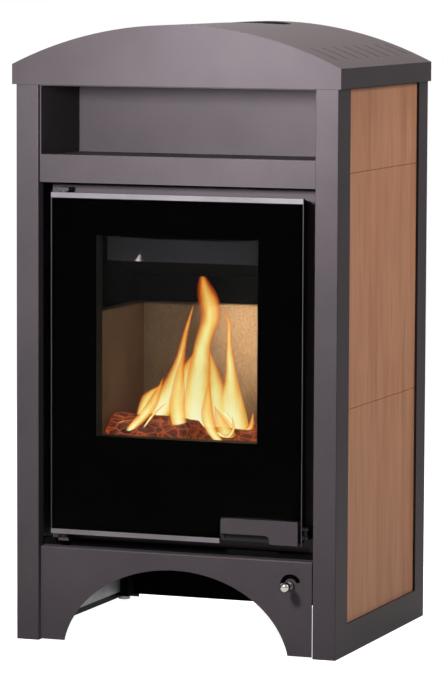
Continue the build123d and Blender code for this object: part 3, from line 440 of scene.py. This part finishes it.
# Embers: how many, how large, and the bed they lie in, in metres
EMBER_COUNT = 26
EMBER_RADIUS = (0.007, 0.016)
EMBER_X = (-0.13, 0.13)
EMBER_Y = (-0.155, 0.005)
EMBER_RISE, EMBER_LUMPS, EMBER_LUMP_SCALE = 0.6, 0.35, 1.4
random.seed(4)
for number in range(EMBER_COUNT):
    size = random.uniform(*EMBER_RADIUS)
    place = Vector((random.uniform(*EMBER_X), random.uniform(*EMBER_Y), HEARTH_Z + size * EMBER_RISE))
    lump = bmesh.new()
    bmesh.ops.create_icosphere(lump, subdivisions=3, radius=size)
    for vertex in lump.verts:
        dent = noise.noise(vertex.co / size * EMBER_LUMP_SCALE + Vector((number, 0, 0)))
        vertex.co *= 1 + EMBER_LUMPS * dent
        vertex.co += place
    coal = bpy.data.meshes.new(f"ember_{number + 1}")
    lump.to_mesh(coal)
    lump.free()
    mesh_object(f"ember_{number + 1}", coal, ember)


# What the rim and the wisps add to the flame's colour and thinning
RIM_HEAT, WISP_HEAT = 0.55, 0.5
# Strength of the light that flames cast, and of the flames as seen
FLAME_CAST, FLAME_SEEN = 0.1, 1.0
FLAME_OPACITY = 0.86


def flame_glow():
    """Flame: pale yellow core, orange rim and tip, thinning out to nothing."""
    material, tree, shader, output = new_material("flame_glow")
    tree.nodes.remove(shader)
    rim = tree.nodes.new("ShaderNodeAttribute")
    rim.attribute_name = "rim"
    rise = tree.nodes.new("ShaderNodeAttribute")
    rise.attribute_name = "rise"
    wisps = noise_texture(tree, position(tree, (1, 1, 0.28)), 60, 3)
    heat = tree.nodes.new("ShaderNodeMath")
    heat.operation = "MULTIPLY_ADD"
    tree.links.new(rim.outputs["Fac"], heat.inputs[0])
    heat.inputs[1].default_value = RIM_HEAT
    tree.links.new(rise.outputs["Fac"], heat.inputs[2])
    wavy = tree.nodes.new("ShaderNodeMath")
    wavy.operation = "MULTIPLY_ADD"
    tree.links.new(wisps, wavy.inputs[0])
    wavy.inputs[1].default_value = WISP_HEAT
    tree.links.new(heat.outputs[0], wavy.inputs[2])
    colour = ramp(tree, wavy.outputs[0], (
        (0.25, linear(255, 252, 205)),
        (0.5, linear(255, 236, 145)),
        (0.78, linear(255, 176, 62)),
        (1.0, linear(236, 88, 16)),
    ))
    glow = tree.nodes.new("ShaderNodeEmission")
    tree.links.new(colour, glow.inputs["Color"])
    seen = seen_ray(tree, tree.nodes.new("ShaderNodeLightPath"))
    tree.links.new(value_range(tree, seen, FLAME_CAST, FLAME_SEEN, 0.0, 1.0), glow.inputs["Strength"])
    clear = tree.nodes.new("ShaderNodeBsdfTransparent")
    mixed = tree.nodes.new("ShaderNodeMixShader")
    solid = value_range(tree, wavy.outputs[0], FLAME_OPACITY, 0.0, 0.35, 1.25)
    tree.links.new(solid, mixed.inputs["Fac"])
    tree.links.new(clear.outputs["BSDF"], mixed.inputs[1])
    tree.links.new(glow.outputs["Emission"], mixed.inputs[2])
    tree.links.new(mixed.outputs["Shader"], output.inputs["Surface"])
    return material


flame_material = flame_glow()
PATH_STEPS = 9
BLADE_SIDES = 20
BLADE_THICKNESS = 0.22
THINNEST_HALF = 0.0006
RIM_POWER = 1.6
RISE_POWER, RISE_WEIGHT = 1.5, 0.6


def smooth_path(points):
    """Points along a smooth curve through given points (x, y, z, half width)."""
    ends = [points[0]] + list(points) + [points[-1]]
    path = []
    for index in range(1, len(ends) - 2):
        before, first, second, after = (Vector(ends[index + k]) for k in (-1, 0, 1, 2))
        for step in range(PATH_STEPS):
            t = step / PATH_STEPS
            path.append(0.5 * (
                2 * first
                + (second - before) * t
                + (2 * before - 5 * first + 4 * second - after) * t * t
                + (3 * first - before - 3 * second + after) * t * t * t
            ))
    path.append(Vector(ends[-1]))
    return path


def flame(name, points, turn):
    """A flame tongue: a lens-shaped blade along a curve, keeping its rim and rise for the material."""
    path = smooth_path(points)
    across = Vector((math.cos(turn), math.sin(turn), 0))
    deep = Vector((-math.sin(turn), math.cos(turn), 0))
    rings, rims, rises = [], [], []
    for index, row in enumerate(path):
        share = index / (len(path) - 1)
        half = max(row[3], THINNEST_HALF)
        ring = []
        for step in range(BLADE_SIDES):
            angle = 2 * math.pi * step / BLADE_SIDES
            wide = half * math.cos(angle)
            thick = BLADE_THICKNESS * half * math.sin(angle)
            ring.append(Vector(row[:3]) + across * wide + deep * thick)
            rims.append(abs(math.cos(angle)) ** RIM_POWER)
            rises.append(share ** RISE_POWER * RISE_WEIGHT)
        rings.append(ring)
    data = ring_mesh(name, rings)
    for attribute_name, values in (("rim", rims), ("rise", rises)):
        attribute = data.attributes.new(attribute_name, "FLOAT", "POINT")
        attribute.data.foreach_set("value", values)
    mesh_object(name, data, flame_material)


# Flames: a name, a turn in radians and (x, y, z, half width) from root to tip, in metres
FLAMES = (
    ("main", 0.1, (
        (0.004, -0.070, 0.300, 0.020), (-0.018, -0.070, 0.345, 0.026), (-0.019, -0.070, 0.400, 0.020),
        (-0.013, -0.070, 0.460, 0.014), (0.001, -0.070, 0.507, 0.016), (-0.002, -0.068, 0.535, 0.018),
        (-0.010, -0.066, 0.560, 0.013), (-0.014, -0.064, 0.574, 0.006),
    )),
    ("right", -0.15, (
        (0.048, -0.050, 0.305, 0.020), (0.032, -0.050, 0.355, 0.026), (0.030, -0.050, 0.410, 0.012),
        (0.026, -0.050, 0.468, 0.005), (0.025, -0.050, 0.500, 0.004), (0.016, -0.050, 0.520, 0.001),
    )),
    ("left", 0.2, (
        (-0.112, -0.090, 0.312, 0.007), (-0.076, -0.090, 0.358, 0.020), (-0.054, -0.090, 0.405, 0.016),
        (-0.042, -0.090, 0.445, 0.008), (-0.032, -0.090, 0.490, 0.005), (-0.020, -0.090, 0.530, 0.001),
    )),
    ("left_low", -0.1, (
        (-0.126, -0.100, 0.322, 0.003), (-0.108, -0.100, 0.348, 0.007), (-0.090, -0.100, 0.385, 0.012),
        (-0.068, -0.100, 0.402, 0.002),
    )),
    ("middle", 0.3, (
        (-0.046, -0.060, 0.335, 0.012), (-0.048, -0.060, 0.385, 0.016), (-0.040, -0.060, 0.430, 0.010),
        (-0.028, -0.060, 0.452, 0.001),
    )),
    ("middle_right", -0.2, (
        (0.004, -0.045, 0.300, 0.022), (0.006, -0.045, 0.360, 0.026), (-0.002, -0.045, 0.420, 0.012),
        (-0.011, -0.045, 0.458, 0.001),
    )),
    ("far_right", 0.15, (
        (0.020, -0.055, 0.356, 0.006), (0.045, -0.055, 0.332, 0.008), (0.064, -0.055, 0.334, 0.007),
        (0.069, -0.055, 0.358, 0.001),
    )),
    ("low_right", 0.0, (
        (0.030, -0.100, 0.292, 0.014), (0.042, -0.100, 0.318, 0.018), (0.030, -0.100, 0.350, 0.010),
        (0.020, -0.100, 0.372, 0.001),
    )),
    ("left_base", 0.1, (
        (-0.121, -0.150, 0.311, 0.003), (-0.107, -0.150, 0.330, 0.006), (-0.088, -0.150, 0.350, 0.010),
        (-0.069, -0.150, 0.372, 0.010), (-0.055, -0.150, 0.399, 0.006), (-0.048, -0.150, 0.420, 0.001),
    )),
    ("hook", -0.1, (
        (-0.146, -0.140, 0.322, 0.001), (-0.136, -0.140, 0.338, 0.003), (-0.122, -0.140, 0.345, 0.003),
        (-0.104, -0.140, 0.349, 0.001),
    )),
    ("centre", 0.15, (
        (-0.014, -0.140, 0.311, 0.007), (-0.022, -0.140, 0.335, 0.011), (-0.028, -0.140, 0.368, 0.013),
        (-0.026, -0.140, 0.400, 0.011), (-0.021, -0.140, 0.438, 0.006), (-0.016, -0.140, 0.466, 0.001),
    )),
    ("right_bow", -0.15, (
        (0.051, -0.140, 0.313, 0.007), (0.032, -0.140, 0.335, 0.010), (0.024, -0.140, 0.359, 0.012),
        (0.024, -0.140, 0.386, 0.008), (0.025, -0.140, 0.411, 0.001),
    )),
    ("far_lick", 0.1, (
        (0.041, -0.140, 0.335, 0.004), (0.055, -0.140, 0.328, 0.004), (0.067, -0.140, 0.341, 0.003),
        (0.065, -0.140, 0.361, 0.001),
    )),
    ("arc", 0.0, (
        (-0.080, -0.150, 0.339, 0.001), (-0.064, -0.150, 0.360, 0.003), (-0.043, -0.150, 0.379, 0.001),
    )),
)
for flame_name, turn, points in FLAMES:
    flame(f"flame_{flame_name}", points, turn)


# Floor, background, light and camera
def pale_floor():
    """A pale floor that is white where it is seen and casts only its own grey."""
    material, tree, shader, output = new_material("pale_floor")
    grain = noise_texture(tree, position(tree), 3, 2)
    tree.links.new(ramp(tree, grain, ((0.3, grey(0.36)), (0.7, grey(0.4)))), shader.inputs["Base Color"])
    shader.inputs["Roughness"].default_value = 0.9
    shader.inputs["Specular IOR Level"].default_value = 0.0
    glow = tree.nodes.new("ShaderNodeEmission")
    glow.inputs["Strength"].default_value = 1.0
    both = tree.nodes.new("ShaderNodeAddShader")
    tree.links.new(shader.outputs["BSDF"], both.inputs[0])
    tree.links.new(glow.outputs["Emission"], both.inputs[1])
    seen = seen_ray(tree, tree.nodes.new("ShaderNodeLightPath"))
    mixed = tree.nodes.new("ShaderNodeMixShader")
    tree.links.new(seen, mixed.inputs["Fac"])
    tree.links.new(shader.outputs["BSDF"], mixed.inputs[1])
    tree.links.new(both.outputs["Shader"], mixed.inputs[2])
    tree.links.new(mixed.outputs["Shader"], output.inputs["Surface"])
    return material


floor_mesh = bpy.data.meshes.new("studio_floor")
FLOOR_REACH = 30.0
corners = [(x * FLOOR_REACH, y * FLOOR_REACH, 0) for x, y in ((-1, -1), (1, -1), (1, 1), (-1, 1))]
floor_mesh.from_pydata(corners, [], [(0, 1, 2, 3)])
floor = bpy.data.objects.new("studio_floor", floor_mesh)
scene.collection.objects.link(floor)
floor_mesh.materials.append(pale_floor())

# The background is white where it is seen, and lights the object only faintly
ROOM_LIGHT = 0.03
BACKDROP_LIGHT = 1.0
world = bpy.data.worlds.new("studio")
scene.world = world
world.use_nodes = True
world_tree = world.node_tree
world_tree.nodes.clear()
world_output = world_tree.nodes.new("ShaderNodeOutputWorld")
room = world_tree.nodes.new("ShaderNodeBackground")
room.inputs["Strength"].default_value = ROOM_LIGHT
backdrop = world_tree.nodes.new("ShaderNodeBackground")
backdrop.inputs["Color"].default_value = WHITE
backdrop.inputs["Strength"].default_value = BACKDROP_LIGHT
world_mix = world_tree.nodes.new("ShaderNodeMixShader")
world_path = world_tree.nodes.new("ShaderNodeLightPath")
world_tree.links.new(seen_ray(world_tree, world_path), world_mix.inputs["Fac"])
world_tree.links.new(room.outputs["Background"], world_mix.inputs[1])
world_tree.links.new(backdrop.outputs["Background"], world_mix.inputs[2])
world_tree.links.new(world_mix.outputs["Shader"], world_output.inputs["Surface"])


def area_light(name, place, target, size, power, colour=(1, 1, 1), spread=180):
    """A soft lamp at a place, aimed at a target; power in watts, spread in degrees."""
    data = bpy.data.lights.new(name, "AREA")
    data.shape = "RECTANGLE"
    data.size, data.size_y = size
    data.energy = power
    data.color = colour
    data.spread = math.radians(spread)
    lamp = bpy.data.objects.new(name, data)
    lamp.location = place
    lamp.rotation_euler = (Vector(target) - Vector(place)).to_track_quat("-Z", "Y").to_euler()
    scene.collection.objects.link(lamp)
    return lamp


area_light("front_softbox", (-0.14, -1.15, 0.97), (0.1, -0.2, 0.68), (0.24, 0.2), 38)
area_light("side_softbox", (1.8, 0.3, 1.75), (0.27, 0, 0.75), (0.9, 0.9), 4.3, (1.0, 0.9, 0.83), 70)
area_light("top_softbox", (0.1, 0.5, 2.4), (0, 0, 0.95), (1.0, 1.0), 88, (1.0, 0.87, 0.83))
area_light("back_fill", (-1.6, 1.8, 1.8), (0, 0, 0.6), (1.4, 1.4), 30)

# Stands for the share of the front light that real panes let through to the hearth
hearth_light = area_light(
    "hearth_light", (-0.1, -0.165, 0.6), (0.15, 0.024, 0.42), (0.06, 0.04), 0.5, (1.0, 0.9, 0.78), 66
)
hearth_light.visible_camera = False
hearth_light.visible_transmission = False
hearth_light.visible_glossy = False

# Camera: focal length and frame height in pixels, place in metres, angles in radians
FOCAL = 3869.6
FRAME_HEIGHT = 674
SENSOR_WIDTH = 36
CAMERA_PLACE = Vector((2.1712, -5.8061, 1.0828))
YAW, PITCH, ROLL = -0.35864, -0.09823, 0.00415
forward = Vector((math.sin(YAW) * math.cos(PITCH), math.cos(YAW) * math.cos(PITCH), math.sin(PITCH)))
right = Vector((math.cos(YAW), -math.sin(YAW), 0))
up = right.cross(forward)
right, up = right * math.cos(ROLL) + up * math.sin(ROLL), up * math.cos(ROLL) - right * math.sin(ROLL)
camera_data = bpy.data.cameras.new("camera")
camera_data.sensor_width = SENSOR_WIDTH
camera_data.lens = FOCAL * SENSOR_WIDTH / FRAME_HEIGHT
camera = bpy.data.objects.new("camera", camera_data)
camera.matrix_world = Matrix.Translation(CAMERA_PLACE) @ Matrix((right, up, -forward)).transposed().to_4x4()
scene.collection.objects.link(camera)
scene.camera = camera
scene.view_settings.view_transform = "Standard"
